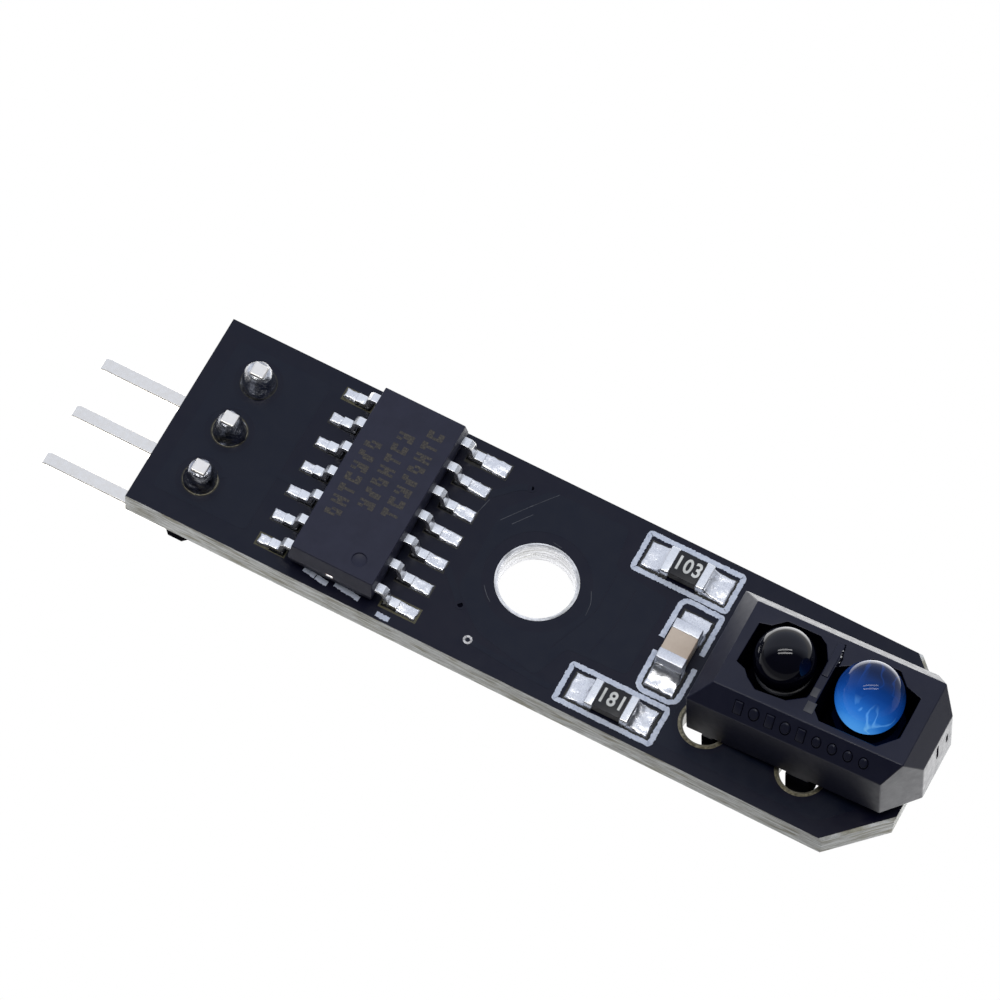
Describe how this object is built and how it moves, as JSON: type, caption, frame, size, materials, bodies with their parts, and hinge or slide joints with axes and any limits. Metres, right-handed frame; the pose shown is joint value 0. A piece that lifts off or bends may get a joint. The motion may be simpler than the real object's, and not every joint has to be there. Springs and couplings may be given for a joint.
{
  "type": "line tracking sensor module",
  "caption": "Narrow black circuit board with a right-angle pin header, a gull-wing logic chip, chip passives and a reflective infrared sensor with blue and black domes.",
  "frame": {"origin": "bottom centre of the module's bounding box, level with the underside of the header pins", "axes": "+Z is the board's component side, +X runs from the pin header to the sensor, +Y is the other long edge's side seen from the mask side with the header on the left"},
  "size_m": [0.0402, 0.0094, 0.0119],
  "materials": {
    "board_laminate": "black solder mask over glass-fibre laminate, satin",
    "black_plastic": "moulded black thermoplastic, satin",
    "housing_plastic": "moulded black thermoplastic with crisp edges, satin",
    "chip_epoxy": "fine-textured moulded epoxy, matt",
    "tinned_pin": "bright tin over copper alloy",
    "tinned_lead": "tin over copper alloy, slightly grainy",
    "solder": "bright solder with a grainy skin",
    "copper_alloy": "bare copper alloy",
    "silicon": "polished semiconductor die",
    "white_ceramic": "sintered alumina",
    "tan_ceramic": "sintered dielectric ceramic, fine-grained",
    "resistor_glaze": "black protective glaze",
    "blue_lens": "clear deep-blue epoxy lens",
    "black_lens": "visible-light-blocking dark epoxy lens, glossy"
  },
  "bodies": {
    "root": {"circuit_board": "board_laminate", "header_insulator": "black_plastic", "header_pin_1": "tinned_pin", "header_pin_2": "tinned_pin", "header_pin_3": "tinned_pin", "header_solder_1": "solder", "header_solder_2": "solder", "header_solder_3": "solder", "chip_body": "chip_epoxy", "chip_lead_01": "tinned_lead", "chip_lead_02": "tinned_lead", "chip_lead_03": "tinned_lead", "chip_lead_04": "tinned_lead", "chip_lead_05": "tinned_lead", "chip_lead_06": "tinned_lead", "chip_lead_07": "tinned_lead", "chip_lead_08": "tinned_lead", "chip_lead_09": "tinned_lead", "chip_lead_10": "tinned_lead", "chip_lead_11": "tinned_lead", "chip_lead_12": "tinned_lead", "chip_lead_13": "tinned_lead", "chip_lead_14": "tinned_lead", "chip_die_paddle": "copper_alloy", "chip_die": "silicon", "resistor_1_body": "white_ceramic", "resistor_1_overcoat": "resistor_glaze", "resistor_1_terminal_a": "tinned_lead", "resistor_1_terminal_b": "tinned_lead", "resistor_2_body": "white_ceramic", "resistor_2_overcoat": "resistor_glaze", "resistor_2_terminal_a": "tinned_lead", "resistor_2_terminal_b": "tinned_lead", "capacitor_1_body": "tan_ceramic", "capacitor_1_terminal_a": "tinned_lead", "capacitor_1_terminal_b": "tinned_lead", "sensor_housing": "housing_plastic", "emitter_lens": "blue_lens", "detector_lens": "black_lens", "emitter_anode_lead": "tinned_pin", "emitter_cathode_lead": "tinned_pin", "detector_collector_lead": "tinned_pin", "detector_emitter_lead": "tinned_pin", "emitter_die": "silicon", "detector_die": "silicon", "sensor_solder_1": "solder", "sensor_solder_2": "solder", "sensor_solder_3": "solder", "sensor_solder_4": "solder"}
  },
  "joints": []
}
